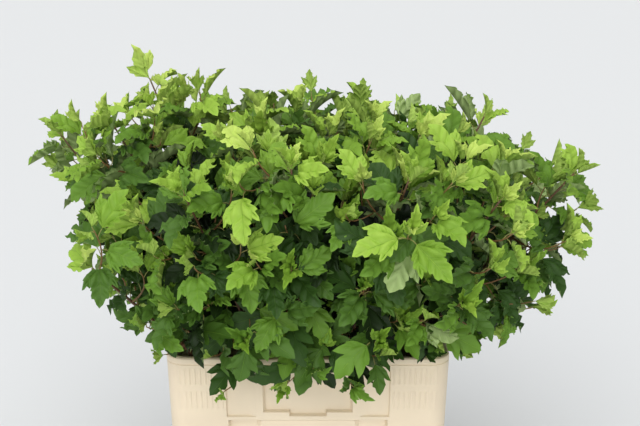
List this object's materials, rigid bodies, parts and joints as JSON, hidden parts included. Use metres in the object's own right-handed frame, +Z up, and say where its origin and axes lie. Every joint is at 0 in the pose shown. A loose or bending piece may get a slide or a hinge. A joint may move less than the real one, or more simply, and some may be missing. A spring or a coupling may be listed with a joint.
{
  "type": "potted ninebark",
  "caption": "Leafy ninebark stems with three-lobed green leaves, fanning out of a tapered rectangular plastic container.",
  "frame": {"origin": "middle of the container's flat underside", "axes": "+Z up, X along the container's long side, the front with the card window at -Y"},
  "size_m": [0.8173, 0.728, 0.7394],
  "materials": {
    "container_plastic": "cream moulded plastic, faintly glossy",
    "bark": "smooth reddish-brown bark",
    "leaves": "satin green leaves, yellow-green at the tips"
  },
  "bodies": {
    "root": {"container": "container_plastic", "stem_1_1": "bark", "foliage_1_1": "leaves", "stem_2_1": "bark", "foliage_2_1": "leaves", "stem_3_1": "bark", "foliage_3_1": "leaves", "stem_4_1": "bark", "foliage_4_1": "leaves", "stem_5_1": "bark", "foliage_5_1": "leaves", "stem_1_2": "bark", "foliage_1_2": "leaves", "stem_2_2": "bark", "foliage_2_2": "leaves", "stem_3_2": "bark", "foliage_3_2": "leaves", "stem_4_2": "bark", "foliage_4_2": "leaves", "stem_5_2": "bark", "foliage_5_2": "leaves", "stem_1_3": "bark", "foliage_1_3": "leaves", "stem_2_3": "bark", "foliage_2_3": "leaves", "stem_3_3": "bark", "foliage_3_3": "leaves", "stem_4_3": "bark", "foliage_4_3": "leaves", "stem_5_3": "bark", "foliage_5_3": "leaves", "stem_1_4": "bark", "foliage_1_4": "leaves", "stem_2_4": "bark", "foliage_2_4": "leaves", "stem_3_4": "bark", "foliage_3_4": "leaves", "stem_4_4": "bark", "foliage_4_4": "leaves", "stem_5_4": "bark", "foliage_5_4": "leaves"}
  },
  "joints": []
}
